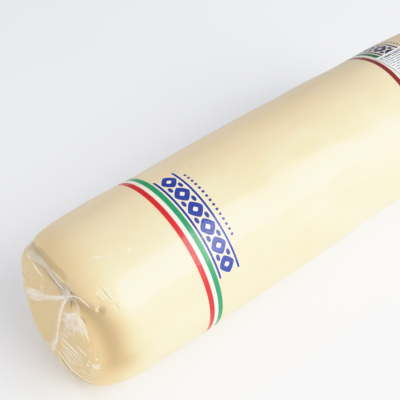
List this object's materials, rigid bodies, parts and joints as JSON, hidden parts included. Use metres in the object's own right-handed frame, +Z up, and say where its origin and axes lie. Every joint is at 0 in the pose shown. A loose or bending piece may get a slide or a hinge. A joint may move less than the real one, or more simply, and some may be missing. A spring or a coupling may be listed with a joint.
{
  "type": "provolone cheese",
  "caption": "Long salame-shaped log of pale provolone cheese in tight clear film gathered at its ends, with printed tricolour bands and a curved paper label.",
  "frame": {"origin": "centre of the bottom of the bounding box, on the flat strip that the log rests on", "axes": "+X along the log from the pictured end to the other end, +Z up"},
  "size_m": [0.4163, 0.1205, 0.1192],
  "materials": {
    "cheese": "pale cream pulled-curd cheese seen through tight clear film, softly translucent with a gloss",
    "clear_film": "clear shrunk film, glossy, whitish where it is folded",
    "print_red": "printed red stripe under the film's gloss",
    "print_white": "printed white stripe under the film's gloss",
    "print_green": "printed green stripe under the film's gloss",
    "print_blue": "printed blue ornament under the film's gloss",
    "label_paper": "coated white paper label with plain grey printed rows"
  },
  "bodies": {
    "root": {"wrapped_cheese": "cheese", "paper_label": "label_paper"}
  },
  "joints": []
}
